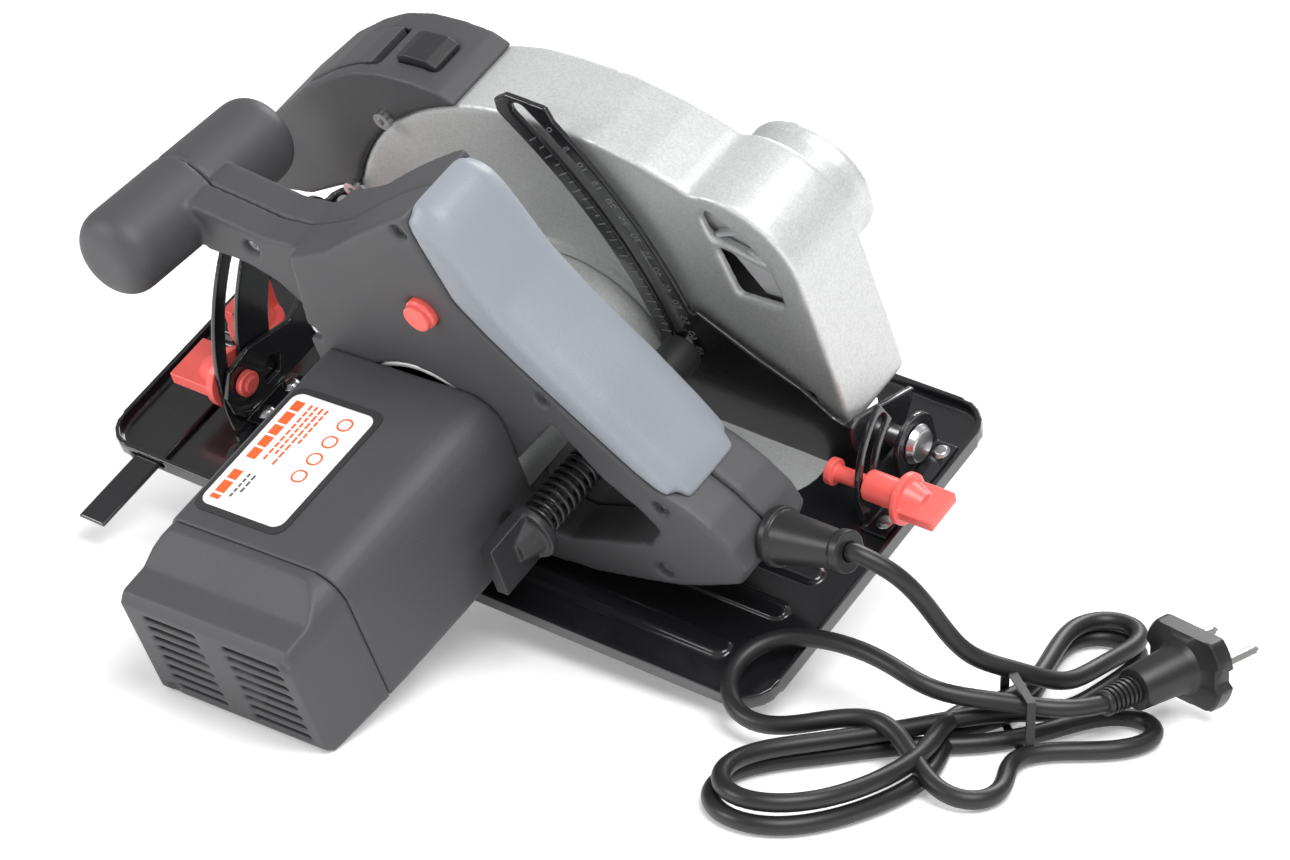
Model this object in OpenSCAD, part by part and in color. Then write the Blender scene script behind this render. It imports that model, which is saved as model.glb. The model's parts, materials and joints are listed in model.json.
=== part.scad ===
// Hand-held circular saw, 190 mm blade, standing the way it is put down on a
// bench at full cutting depth: on the end of the motor, on the lower guard
// and on the rear left corner of the base plate.
// Saw frame: +X forward, +Y to the motor side, +Z up, x = 0 at the rear edge
// and y = 0 at the right edge of the base plate, z = 0 at the sole.

/* [Base plate] */
// Length of the base plate
base_l = 300; // [296:1:306]
// Width of the base plate
base_w = 150; // [147:1:154]
// Sheet thickness of the base plate
base_t = 2; // [1.5:0.1:2.2]
// Height of the turned-up rim, from the sole
rim_h = 6; // [5:0.5:7]

/* [Blade] */
// Diameter of the saw blade
blade_d = 190; // [184:1:190]
// Number of blade teeth
blade_teeth = 24; // [18:6:36]
// Thickness of the blade plate
blade_t = 1.6; // [1.4:0.1:2]
// Bore of the saw blade
blade_bore = 30; // [28:1:32]

/* [Motor] */
// Width of the motor housing, front to back
motor_w = 77; // [75:1:77]
// Where the end of the motor is, from the right edge of the base plate
motor_end = 246; // [240:1:250]

/* [Hand grip] */
// Diameter of the front cross handle
bar_d = 33; // [30:1:36]
// Length of the front cross handle
bar_l = 88; // [84:1:94]

/* [Cord] */
// Diameter of the mains lead
cord_d = 6.4; // [6:0.1:7]

/* [Hidden] */
$fn = 64;

roll = 25.37;         // lean of the whole saw, towards the motor
nose = 4.24;          // turn of the base about the depth pivot at full depth
PX = 274; PZ = 14;    // depth pivot, the same point in the base and body frames
AX = 139.2; AZ = 20;  // blade axis, in the body frame
AY = 26;              // middle of the blade
MX = 137; MZ = 43.5;  // motor axis
BY = 30; BZ = 12;     // bevel axis, in the base frame
mesh = atan2(MZ - AZ, MX - AX) + 180; // line of centres of the gears
HY = 108;             // seam of the two handle shells
DX = 89.3; DZ = 31.3; // depth bolt, in the body frame
GR = 98.5;            // outer radius of the lower guard
off = [-139.52, -112.47, 86.73];

module saw() { translate(off) rotate([-roll, 0, 0]) children(); }
module base() { saw() translate([PX, 0, PZ]) rotate([0, -nose, 0]) translate([-PX, 0, -PZ]) children(); }
module slab(y0, y1) { translate([0, y1, 0]) rotate([90, 0, 0]) linear_extrude(y1 - y0) children(); }
module plate(x0, x1) { translate([x0, 0, 0]) rotate([90, 0, 90]) linear_extrude(x1 - x0) children(); }
module ycyl(x, z, r, y0, y1) { translate([x, y0, z]) rotate([-90, 0, 0]) cylinder(r = r, h = y1 - y0); }
module ycone(x, z, r0, r1, y0, y1) { translate([x, y0, z]) rotate([-90, 0, 0]) cylinder(r1 = r0, r2 = r1, h = y1 - y0); }
module xcyl(y, z, r, x0, x1) { translate([x0, y, z]) rotate([0, 90, 0]) cylinder(r = r, h = x1 - x0); }
module zcyl(x, y, r, z0, z1) { translate([x, y, z0]) cylinder(r = r, h = z1 - z0); }
function arcp(cx, cy, r, a0, a1, n) = [for (i = [0:n]) [cx + r * cos(a0 + (a1 - a0) * i / n), cy + r * sin(a0 + (a1 - a0) * i / n)]];
function rrect(x0, y0, x1, y1, r, n = 5) = concat(arcp(x1 - r, y1 - r, r, 0, 90, n), arcp(x0 + r, y1 - r, r, 90, 180, n), arcp(x0 + r, y0 + r, r, 180, 270, n), arcp(x1 - r, y0 + r, r, 270, 360, n));
module sector(cx, cy, r0, r1, a0, a1, n = 24) { polygon(concat(arcp(cx, cy, r1, a0, a1, n), arcp(cx, cy, r0, a1, a0, n))); }
module arcslot(cx, cy, r, w, a0, a1, n = 20) {
  sector(cx, cy, r - w / 2, r + w / 2, a0, a1, n);
  for (a = [a0, a1]) translate([cx + r * cos(a), cy + r * sin(a)]) circle(d = w, $fn = 32);
}
// a tube swept along points, with closed ends
function vsub(a, b) = a - b;
function unit(a) = a / norm(a);
function side(t) = unit(cross(t, [0, 1, -1]));
function tang(p, i) = unit(p[min(i + 1, len(p) - 1)] - p[max(i - 1, 0)]);
function ringp(p, i, r, n) = let(t = tang(p, i), u = side(t), v = cross(t, u)) [for (k = [0:n - 1]) p[i] + r * (cos(360 * k / n) * u + sin(360 * k / n) * v)];
function cr(a, b, c, d, t) = 0.5 * (2 * b + (c - a) * t + (2 * a - 5 * b + 4 * c - d) * t * t + (3 * b - a - 3 * c + d) * t * t * t);
function smooth(p, m) = concat([for (i = [0:len(p) - 2]) for (k = [0:m - 1]) cr(p[max(i - 1, 0)], p[i], p[i + 1], p[min(i + 2, len(p) - 1)], k / m)], [p[len(p) - 1]]);
module sweep(p, r, n = 10) {
  m = len(p);
  polyhedron(points = [for (i = [0:m - 1]) each ringp(p, i, r, n)],
    faces = concat([[for (k = [0:n - 1]) k]], [[for (k = [n - 1:-1:0]) (m - 1) * n + k]],
      [for (i = [0:m - 2]) for (k = [0:n - 1]) each [[i * n + k, (i + 1) * n + k, i * n + (k + 1) % n], [(i + 1) * n + k, (i + 1) * n + (k + 1) % n, i * n + (k + 1) % n]]]));
}

// ---------------------------------------------------------------- base
module base_plate() color([0.05, 0.05, 0.055]) base() difference() {
  union() {
    linear_extrude(base_t) polygon(rrect(0, 0, base_l, base_w, 13));
    linear_extrude(rim_h) difference() {
      polygon(rrect(0, 0, base_l, base_w, 13));
      polygon(rrect(base_t, base_t, base_l - base_t, base_w - base_t, 11));
    }
    // three stiffening ribs pressed up along the plate
    for (i = [0:2]) translate([[15, 17, 26][i], [89.9, 109.1, 131][i] - 3.5, base_t - 0.5]) linear_extrude(1.9) polygon(rrect(0, 0, 225, 7, 3.4, 4));
    // bridge over the fence bar, with the thread of its lock
    translate([263, 74, base_t - 0.5]) cube([28, 15, 7]);
  }
  // opening for the blade, the guards and the gear case
  translate([0, 0, -1]) linear_extrude(12) polygon(concat(arcp(231, 62, 6, 0, 90, 4), arcp(63, 48, 20, 90, 180, 8), arcp(49, 14, 6, 180, 270, 4), arcp(231, 14, 6, 270, 360, 4)));
  // sight notch in the front rim
  translate([base_l - 9, AY - 4, -1]) cube([12, 8, 12]);
  // way through for the fence bar
  translate([268.8, -2, base_t]) cube([16.4, base_w + 4, 2.4]);
  zcyl(277, 81.5, 3, 3, 12);
  for (p = [[250.2, 97], [250.2, 112], [8, 24], [8, 60], [293.6, 9.8], [293.6, 50.2]]) zcyl(p[0], p[1], 2.05, -1, 4);
}
module front_quadrant() color([0.04, 0.04, 0.045]) base() {
  plate(254.2, 256.2) difference() {
    polygon(concat(arcp(BY, BZ, 95, -5.4, 48, 22), arcp(BY, BZ, 92.6, 50, 57, 5), arcp(BY, BZ, 66, 57, -7.6, 14)));
    arcslot(BY, BZ, 86, 6.6, 6, 53);
  }
  difference() {
    translate([246, 91, 2.05]) cube([10.2, 27, 1.8]);
    for (y = [97, 112]) zcyl(250.2, y, 2.05, 1, 6);
  }
}
module rear_bevel_ear() color([0.04, 0.04, 0.045]) base() {
  plate(13, 15) difference() {
    union() {
      polygon(concat(arcp(BY, BZ, 35, -13, 68, 14), arcp(BY, BZ, 23, 68, -13, 10)));
      polygon([[BY + 20, 2.05], [BY + 34, 2.05], [BY + 34, 6], [BY + 20, 9]]);
      polygon(concat([[18.5, 2.05], [41.5, 2.05]], arcp(BY, BZ, 11.5, 0, 180, 16)));
    }
    arcslot(BY, BZ, 29, 6.6, 13.2, 60, 14);
    translate([BY, BZ]) circle(r = 4.05, $fn = 48);
  }
  difference() {
    translate([4, 19, 2.05]) cube([11, 47, 1.6]);
    for (y = [24, 60]) zcyl(8, y, 2.05, 1, 6);
  }
}
module front_pivot_tab() color([0.04, 0.04, 0.045]) base() {
  plate(290.6, 292.6) difference() {
    polygon(concat([[14, 2.05], [46, 2.05]], arcp(BY, BZ, 10, 0, 180, 16)));
    translate([BY, BZ]) circle(r = 4.05, $fn = 48);
  }
  difference() {
    translate([290.6, 7.2, 2.05]) cube([5.4, 45.6, 1.6]);
    translate([290, 20, 1]) cube([9, 20, 4]);
    for (y = [9.8, 50.2]) zcyl(293.6, y, 2.05, 1, 6);
  }
}
module stud(x, y, z1) { zcyl(x, y, 2.05, 0.3, z1 + 0.1); translate([x, y, z1]) cylinder(r1 = 3.6, r2 = 2.2, h = 1.5, $fn = 32); }
module base_rivets() color([0.7, 0.7, 0.72]) base() {
  for (y = [97, 112]) stud(250.2, y, 3.85);
  for (y = [24, 60]) stud(8, y, 3.65);
  for (y = [9.8, 50.2]) stud(293.6, y, 3.65);
}

// ---------------------------------------------------------------- rip fence
module rip_fence() color([0.06, 0.06, 0.065]) base() {
  translate([271, -20, 2.15]) cube([12, 203, 1.8]);
  translate([237, -22, -9]) cube([54, 2.2, 12.95]);
}
module fence_knob() color([0.92, 0.22, 0.2]) base() {
  zcyl(277, 81.5, 2.95, 4.1, 10);
  zcyl(277, 81.5, 11, 9, 12);
  translate([277, 81.5, 12]) cylinder(r1 = 8, r2 = 5, h = 9);
  translate([277 - 2.6, 81.5 - 11, 12]) cube([5.2, 22, 15]);
}

// ---------------------------------------------------------------- bevel frame
module front_bevel_bracket() color([0.04, 0.04, 0.045]) base() difference() {
  union() {
    plate(251.4, 253.8) polygon([[46.2, 6.4], [117, 8], [124, 13], [125, 22], [120, 31], [108, 33], [86, 27], [66, 36], [46.2, 38]]);
    slab(46.2, 48.8) polygon([[251.4, 6.4], [288.4, 6.4], [288.4, 24], [280, 31], [251.4, 38]]);
    plate(285.8, 288.4) polygon(concat([[48.8, 6.4], [48.8, 24], [38, 24]], arcp(BY, BZ, 8.5, 50, 240, 12), [[32, 5.6]]));
  }
  xcyl(BY + 86 * cos(7), BZ + 86 * sin(7), 3.06, 245, 268);
  plate(245, 258) polygon([[98, 12], [106, 12], [106, 17], [100, 22], [95, 19]]);
  ycyl(PX, PZ, 4.05, 40, 60);
  xcyl(BY, BZ, 4, 280, 290);
}
module rear_bevel_bracket() color([0.04, 0.04, 0.045]) base() difference() {
  union() {
    slab(46.6, 48.8) {
      polygon([[23.4, 9], [23.4, 32], [31, 34.5], [43, 44.5], [60, 53], [82, 66], [96, 56], [97.5, 46], [97.5, 10.5]]);
      polygon(concat(arcp(PX, PZ, 195.5, 174, 140, 20), [[PX + 198 * cos(138.3), PZ + 198 * sin(138.3)], [PX + 186 * cos(134.6), PZ + 186 * sin(134.6)], [PX + 179 * cos(134.2), PZ + 179 * sin(134.2)], [PX + 175 * cos(135.4), PZ + 175 * sin(135.4)]], arcp(PX, PZ, 174.5, 137, 176, 24)));
    }
    plate(23.4, 25.8) polygon([[48.8, 9], [48.8, 33], [44, 34], [13, 19.6], [14.6, 16.4], [25, 6], [36, 5.4]]);
  }
  slab(40, 60) arcslot(PX, PZ, 185.5, 7, 171.4, 137);
  xcyl(BY, BZ, 4, 20, 30);
  xcyl(BY + 29 * cos(14.2), BZ + 29 * sin(14.2), 3.06, 20, 30);
}
module bevel_pivot_rivets() color([0.75, 0.75, 0.77]) base() {
  xcyl(BY, BZ, 4, 10, 28);
  translate([12.7, BY, BZ]) rotate([0, -90, 0]) cylinder(r1 = 7.6, r2 = 6, h = 2.7);
  xcyl(BY, BZ, 5.6, 26, 28);
  xcyl(BY, BZ, 4, 283.8, 294.6);
  xcyl(BY, BZ, 5.4, 283.8, 285.6);
  translate([292.9, BY, BZ]) rotate([0, 90, 0]) cylinder(r1 = 6.4, r2 = 5, h = 2);
}
module front_bevel_knob() color([0.92, 0.22, 0.2]) base() {
  y = BY + 86 * cos(7); z = BZ + 86 * sin(7);
  xcyl(y, z, 3, 247, 260);
  xcyl(y, z, 5, 248.2, 251.2);
  xcyl(y, z, 11.5, 256.5, 259.8);
  translate([259.8, y, z]) rotate([0, 90, 0]) cylinder(r1 = 9, r2 = 5, h = 9);
  translate([259.8, y - 10, z - 2.6]) cube([19, 20, 5.2]);
}
module rear_bevel_knob() color([0.92, 0.22, 0.2]) base() {
  y = BY + 29 * cos(14.2); z = BZ + 29 * sin(14.2);
  xcyl(y, z, 3, 0, 29.5);
  xcyl(y, z, 5, 26.1, 29);
  xcyl(y, z, 5.6, -1.5, 12.7);
  xcyl(y, z, 9.5, -4, -1.5);
  translate([-4, y, z]) rotate([0, -90, 0]) cylinder(r1 = 7, r2 = 4.2, h = 7);
  translate([-18, y - 8, z - 2.2]) cube([14, 16, 4.4]);
}
module depth_pivot_pin() color([0.72, 0.72, 0.74]) base() {
  ycyl(PX, PZ, 4, 23.2, 51.2);
  ycyl(PX, PZ, 6.2, 49, 51.2);
  ycyl(PX, PZ, 5, 23.2, 25.2);
}

// ---------------------------------------------------------------- guards
function guard_out() = concat(arcp(AX, AZ - 1, 103.4, 3, 88, 30), [[124, 121.4], [105, 119.4], [86, 114], [72, 108]], arcp(59, 77, 29.5, 74, 178, 12), [[28.6, 60], [27, 10]]);
function guard_in() = concat(arcp(AX, AZ - 1, 100.6, 3, 88, 30), [[124, 118.6], [106, 116.4], [88, 111.4], [73, 105.4]], arcp(59, 77, 26.7, 74, 178, 12), [[31.6, 60], [30.6, 18]]);
module upper_guard() color([0.72, 0.73, 0.73]) saw() difference() {
  union() {
    difference() {
      union() {
        slab(10, 44.4) polygon(concat(guard_out(), [[30, 6], [36, 6], [40, 22], [236, 24]]));
        slab(26, 44.4) { polygon([[215, 22], [240, 50], [268, 24], [273, 20.4], [270, 8.6], [258, 12], [244, 15], [225, 20]]); translate([PX, PZ]) circle(r = 7, $fn = 48); }
        // ring that takes the gear case
        slab(40.4, 46.2) sector(AX, AZ, 34, 43, -14, 194, 40);
        for (p = lugs) ycyl(p[0], p[1], 4.4, 30, 43);
      }
      slab(13.4, 41) polygon(concat(guard_in(), [[34, 0], [240, 0], [241, 23]]));
      // recess in the rear of the left wall
      slab(38, 46) polygon([[40, 62], [60, 62], [66, 96], [62, 101], [50, 92], [41, 80]]);
      // way out for the dust
      ycyl(62.5, 70, 21.5, 5, 14);
      // left wall: room for the gear case
      ycyl(AX, AZ, 38.2, 39, 52);
    }
    difference() {
      union() { ycyl(62.5, 70, 24.4, -9, 10.4); ycyl(62.5, 70, 25.6, -9, -5.5); }
      ycyl(62.5, 70, 21.5, -14, 14);
    }
    // webs across the recess
    slab(39, 43.6) polygon([[36, 75], [70, 85], [70, 88], [36, 78]]);
  }
  ycyl(PX, PZ, 4.05, 20, 60);
  for (p = lugs) ycyl(p[0], p[1], 1.6, 36, 60);
}
lugs = [[203, 104.5], [235, 62]];
module laser_cover() color([0.17, 0.17, 0.18]) saw() difference() {
  union() {
    slab(11, 46) polygon([[294, 56], [285, 68], [271, 83], [243, 106], [226, 116.5], [213, 122.6], [200, 125.6], [185, 126], [172, 124.4], [165, 120.4], each arcp(AX, AZ - 1, 103.6, 75, 26, 16), [246, 58], [262, 50], [290, 46]]);
  }
  // room for the laser
  slab(13.5, 43) polygon([[286, 57], [279, 67], [267, 80], [250, 94], [246, 90], [244, 80], [250, 66], [262, 56], [280, 52]]);
  slab(13.5, 43) polygon([[180, 123.4], [200, 122.8], [212, 120], [230, 111.4], [236, 102], [228, 93], [216, 100], [196, 112]]);
  // opening of the battery cover and of the switch
  slab(20, 40) polygon([[206, 140], [250, 112], [238, 100], [200, 112]]);
  slab(22.92, 37.08) polygon([[177.9, 140], [196.1, 140], [196.1, 110], [177.9, 115]]);
  for (p = lugs) { ycyl(p[0], p[1], 1.6, 36, 60); ycyl(p[0], p[1], 4.7, 29, 43.1); }
  translate([262, AY, 40]) cylinder(r = 4, h = 20);
}
module laser_battery_cover() color([0.19, 0.19, 0.2]) saw() slab(20.2, 39.8) polygon([[206.4, 125], [214, 122.8], [227, 116.6], [243.4, 106.2], [240.6, 102.6], [226, 112.4], [213, 118.6], [206.4, 120.6]]);
module laser_button() color([0.14, 0.14, 0.15]) saw() slab(23, 37) polygon([[178, 126.6], [182, 128.8], [192, 129], [196, 127.6], [196, 118], [178, 118]]);
module laser_module() color([0.6, 0.5, 0.3]) saw() {
  translate([262, AY, 61]) cylinder(r = 5, h = 13);
  translate([262, AY, 52]) cylinder(r = 3.2, h = 9.2);
}
module guard_screws() color([0.78, 0.78, 0.8]) saw() for (p = lugs) {
  difference() { ycyl(p[0], p[1], 3.6, 46.05, 48.6); ycyl(p[0], p[1], 1.6, 47.2, 50, $fn = 6); }
  ycyl(p[0], p[1], 1.55, 37, 46.2);
}
module gear_case() color([0.62, 0.63, 0.64]) saw() difference() {
  union() {
    difference() { ycyl(AX, AZ, 38, 41.2, 62); translate([80, 40, -30]) cube([120, 24, 24.5]); }
    ycyl(AX, AZ, 22, 34, 42);
    slab(61.9, 70) { difference() { translate([AX, AZ]) circle(r = 37); translate([80, -30]) square([120, 24.5]); } translate([MX, MZ]) circle(r = 34); }
    ycyl(MX, MZ, 34, 69.9, 125.8);
    // boss of the spindle lock
    translate([AX + 31, 50.5, AZ - 18]) cube([13, 11, 12]);
  }
  difference() { ycyl(AX, AZ, 34.5, 44.4, 60); translate([80, 40, -30]) cube([120, 24, 28]); }
  ycyl(MX, MZ, 31.5, 70, 126.2);
  ycyl(AX, AZ, 14, 35.5, 45);
  ycyl(AX, AZ, 9, 33, 36);
  ycyl(AX, AZ, 8, 59, 67);
  ycyl(MX, MZ, 11, 63.5, 71);
  ycyl(MX, MZ, 6.5, 58, 66);
  xcyl(56, AZ - 12, 3.06, AX + 20, AX + 46);
}
module spindle_lock() color([0.15, 0.15, 0.16]) saw() {
  xcyl(56, AZ - 12, 3, AX + 23, AX + 50);
  xcyl(56, AZ - 12, 5.2, AX + 48.5, AX + 54);
}

// ---------------------------------------------------------------- motor
module housing2d(x0, z0, x1, z1) { polygon(concat(arcp(x1 - 5, z1 - 5, 5, 0, 90, 4), arcp(x0 + 13, z1 - 13, 13, 90, 180, 6), arcp(x0 + 9, z0 + 9, 9, 180, 270, 5), arcp(x1 - 9, z0 + 9, 9, 270, 360, 5))); }
mx0 = MX + 2.6 - motor_w / 2; mx1 = MX + 2.6 + motor_w / 2;
module motor_housing() color([0.2, 0.2, 0.21]) saw() difference() {
  intersection() {
    slab(126.2, 214) housing2d(mx0, 10, mx1 + 1, 74);
    plate(80, 200) polygon([[126, 10], [214.5, 16.5], [214.5, 75], [126, 75]]);
  }
  slab(126, 215) housing2d(mx0 + 2.4, 18.6, mx1 - 1.4, 71.4);
}
module motor_end_cap() color([0.2, 0.2, 0.21]) saw() difference() {
  union() {
    difference() {
      intersection() {
        slab(214.2, motor_end) housing2d(mx0, 10, mx1, 74);
        plate(80, 200) polygon([[214, 16.5], [motor_end - 3, 19.4], [motor_end, 22.4], [motor_end, 64.3], [motor_end - 3, 67.3], [232, 67.6], [218, 74], [214, 74]]);
      }
      slab(214, motor_end - 2.6) housing2d(mx0 + 2.4, 21.6, mx1 - 2.4, 65);
    }
    ycyl(MX, MZ, 14, 224, motor_end - 1);
    difference() {
      slab(208, 215) housing2d(mx0 + 2.6, 18.8, mx1 - 2.6, 71.2);
      slab(207, 216) housing2d(mx0 + 4.8, 21.6, mx1 - 4.8, 69);
    }
  }
  ycyl(MX, MZ, 11, 222, 233);
  for (c = [[107, 133], [145, 169]]) for (i = [0:7]) translate([c[0], motor_end - 2.7, 25 + 4.8 * i]) cube([c[1] - c[0], 6, 2.3]);
  for (p = [[103.5, 62], [171, 24.5]]) ycyl(p[0], p[1], 2.6, motor_end - 1.2, motor_end + 1);
}
module rating_plate() color([0.93, 0.93, 0.92]) saw() translate([0, 0, 74.05]) linear_extrude(0.4) polygon(rrect(136, 149, 173, 204, 4));
module stator() color([0.45, 0.4, 0.36]) saw() difference() {
  slab(134, 182) polygon(rrect(108.5, 18.7, 165.5, 70.5, 12));
  ycyl(MX, MZ, 20.6, 130, 190);
}
module armature() color([0.5, 0.42, 0.35]) saw() difference() {
  union() {
    ycyl(MX, MZ, 4, 61, 232.6);
    ycyl(MX, MZ, 20, 134, 182);
    ycyl(MX, MZ, 15, 126, 190);
    // pinion, nine teeth
    slab(46, 58) { circle_at(MX, MZ, 3.7); for (k = [0:8]) translate([MX, MZ]) rotate(k * 40 + mesh) polygon([[0, -0.9], [3.6, -0.9], [5.5, -0.4], [5.5, 0.4], [3.6, 0.9], [0, 0.9]]); }
    ycyl(MX, MZ, 3.6, 57.9, 61.2);
  }
}
module circle_at(x, z, r) { translate([x, z]) circle(r = r); }
module commutator() color([0.72, 0.42, 0.25]) saw() difference() {
  ycyl(MX, MZ, 12, 193, 208);
  ycyl(MX, MZ, 4, 190, 210);
  for (k = [0:11]) translate([MX, 192, MZ]) rotate([0, k * 30, 0]) translate([11.3, 0, -0.3]) cube([2, 20, 0.6]);
}
module cooling_fan() color([0.25, 0.25, 0.26]) saw() {
  difference() {
    union() { ycyl(MX, MZ, 30.6, 112, 114); ycyl(MX, MZ, 9, 100, 113); }
    ycyl(MX, MZ, 4, 95, 120);
  }
  for (k = [0:10]) translate([MX, 102, MZ]) rotate([0, k * 360 / 11, 0]) translate([14, 0, -0.8]) cube([15.6, 10.2, 1.6]);
}
module carbon_brushes() color([0.1, 0.1, 0.1]) saw() for (s = [-1, 1]) translate([MX + s * 19.2 - 7, 197, MZ - 4]) cube([14, 8, 8]);
module brush_holders() color([0.75, 0.6, 0.3]) saw() for (s = [-1, 1]) difference() {
  translate([MX + s * 24 - 9, 195.4, MZ - 5.6]) cube([18, 11.2, 11.2]);
  translate([MX + s * 19.2 - 7.1, 196.9, MZ - 4.1]) cube([14.2, 8.2, 8.2]);
}
module race(x, z, ro, ri, y0, y1) { difference() { ycyl(x, z, ro, y0, y1); ycyl(x, z, ri, y0 - 1, y1 + 1); } }
module armature_bearings() color([0.75, 0.76, 0.78]) saw() { race(MX, MZ, 10.98, 4.03, 63.6, 70); race(MX, MZ, 10.98, 4.03, 225, 232); }

// ---------------------------------------------------------------- spindle and blade
module spindle() color([0.7, 0.7, 0.72]) saw() difference() {
  union() { ycyl(AX, AZ, 6, 24, 60.4); ycyl(AX, AZ, 4.5, 60.4, 66.6); ycyl(AX, AZ, 8, 30.2, 34.6); }
  ycyl(AX, AZ, 3.3, 22, 44);
}
module drive_gear() color([0.6, 0.6, 0.62]) saw() difference() {
  slab(47, 57) { circle_at(AX, AZ, 17.6); for (k = [0:35]) translate([AX, AZ]) rotate(k * 10 + 5 + mesh) polygon([[16, -0.9], [17.6, -0.9], [19.5, -0.45], [19.5, 0.45], [17.6, 0.9], [16, 0.9]]); }
  ycyl(AX, AZ, 6, 46, 58);
  for (k = [0:3]) ycyl(AX + 11.5 * cos(k * 90 + 45), AZ + 11.5 * sin(k * 90 + 45), 2, 46, 58);
}
module spindle_bearings() color([0.75, 0.76, 0.78]) saw() { race(AX, AZ, 13.98, 6.03, 36.2, 44); race(AX, AZ, 7.98, 4.53, 61, 66.6); }
module inner_flange() color([0.65, 0.65, 0.67]) saw() difference() {
  union() { ycyl(AX, AZ, 19, AY + blade_t / 2, AY + 4.1); ycyl(AX, AZ, blade_bore / 2 - 0.02, AY - 0.4, AY + 1); }
  ycyl(AX, AZ, 6, 20, 40);
}
module outer_flange() color([0.65, 0.65, 0.67]) saw() difference() {
  ycone(AX, AZ, 13, 18, AY - 4.6, AY - blade_t / 2);
  ycyl(AX, AZ, 6, 10, AY + 4);
}
module blade_bolt() color([0.3, 0.3, 0.32]) saw() {
  difference() { slab(16.6, AY - 4.62) translate([AX, AZ]) circle(r = 7, $fn = 6); ycyl(AX, AZ, 3, 15, 18); }
  ycyl(AX, AZ, 3.28, AY - 4.7, 42);
}
module saw_blade() color([0.7, 0.71, 0.73]) saw() difference() {
  slab(AY - blade_t / 2, AY + blade_t / 2) union() {
    circle_at(AX, AZ, blade_d / 2 - 5);
    for (k = [0:blade_teeth - 1]) translate([AX, AZ]) rotate(k * 360 / blade_teeth) polygon([[blade_d / 2 - 7, -9], [blade_d / 2 - 5, -9], [blade_d / 2 - 1.6, 0], [blade_d / 2, 5], [blade_d / 2 - 7, 4]]);
  }
  ycyl(AX, AZ, blade_bore / 2, 20, 32);
  for (k = [0:3]) slab(20, 32) translate([AX, AZ]) rotate(k * 90 + 20) translate([62, -1]) square([22, 1.6]);
}
module lower_guard() color([0.72, 0.73, 0.73]) saw() difference() {
  union() {
    slab(16, 37) sector(AX, AZ, GR - 2, GR, 178, 357, 40);
    slab(35.4, 37) { sector(AX, AZ, 24, GR - 1, 178, 357, 40); circle_at(AX, AZ, 26); }
    slab(16, 17.6) sector(AX, AZ, 52, GR - 1, 178, 357, 40);
  }
  ycyl(AX, AZ, 22.06, 30, 40);
}
module guard_lever() color([0.12, 0.12, 0.13]) saw() {
  slab(37.1, 39.2) difference() {
    polygon([[AX - 66, AZ - 8], [AX - 92, AZ - 8], [AX - 92, AZ - 22], [AX - 66, AZ - 22]]);
    circle_at(AX - 72, AZ - 15, 1.5);
  }
}
module guard_spring() color([0.6, 0.6, 0.62]) saw() race(AX, AZ, 25.5, 22.4, 37.2, 40.4);

// ---------------------------------------------------------------- handle
shell_out = [[112, -5], [150, -4], [172, 1], [182, 10], [184, 40], [186, 70], [190, 83], [199, 92], [212, 97], [230, 98],
  [230, 119], [212, 116], [197, 113], [183, 114], [170, 119], [158, 124.6], [144, 134.6], [128, 145], [117, 151.4], [112, 154],
  [110.5, 146], [104, 118], [91, 101.5], [72, 82], [53, 63], [42, 53], [30, 47], [22, 41], [14, 32], [11.5, 24], [15, 17], [30, 10], [46, 4], [64, 0], [84, -4]];
grip_out = [[30, 47.3], [42, 53.3], [53, 63.3], [71.7, 82.2], [90.7, 101.8], [103.6, 118.2], [110.2, 146], [111.7, 154.3], [107, 154.4], [101.5, 151.6], [97, 145], [92.5, 133], [85.6, 118.4], [72.4, 101.4], [56.4, 82.6], [43.6, 66.4], [33.6, 54.2]];
finger = [[78, 71], [95, 53], [111, 36], [112, 14], [92, 9.5], [76, 15], [53, 21], [45, 31], [51, 39], [64, 50], [72, 62]];
module shell2d() difference() { polygon(shell_out); polygon(finger); }
module shell_cut() {
  // seat of the motor
  ycyl(MX, MZ, 34.1, 80, 130);
  // room for the trigger, its switch and the wires
  slab(97.8, 118.2) polygon([[44, 40], [50, 54], [60, 62], [70, 76], [80, 88], [90, 84], [96, 70], [86, 58], [66, 40]]);
  slab(93, 123) polygon([[98, 90], [92, 80], [104, 74], [118, 84], [150, 84], [180, 86], [184, 96], [172, 108], [158, 118], [140, 132], [122, 138], [117, 135], [112, 116], [104, 102]]);
  slab(93, 123) polygon([[30, 20], [44, 13], [66, 7], [92, 2], [100, 4], [92, 6], [76, 11], [52, 17], [40, 27], [34, 33], [24, 31], [21, 26]]);
  slab(100, 116) polygon([[40, 27], [34, 33], [46, 46], [50, 54], [56, 56], [48, 40]]);
  // seat of the lead
  translate([10.8, HY, 24.6]) rotate([0, -82, 0]) { translate([0, 0, -14]) cylinder(r = 6.06, h = 18); translate([0, 0, -0.06]) cylinder(r = 10.6, h = 8); }
  // screw holes and the trigger pin
  for (p = screws) ycyl(p[0], p[1], 1.5, 88, 128);
  ycyl(84, 78, 2, 93, 123);
}
screws = [[116, 146], [205, 106], [182.5, 78], [78.5, 81.5], [41, 43.5], [50, 9.6]];
module bar() { translate([244.7, HY, 108.8]) rotate([7, 0, 0]) children(); }
module bar_half(side) {
  h = bar_l / 2; r = bar_d / 2;
  bar() rotate([side > 0 ? -90 : 90, 0, 0]) rotate_extrude() polygon(concat([[0, 0.02], [r, 0.02]], arcp(r - 9, h - 9, 9, 0, 90, 6), [[0, h], [0, h - 3], [r - 9, h - 3], [r - 4, h - 5.6], [r - 3, h - 9], [r - 3, 3], [0, 3]]));
}
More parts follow.
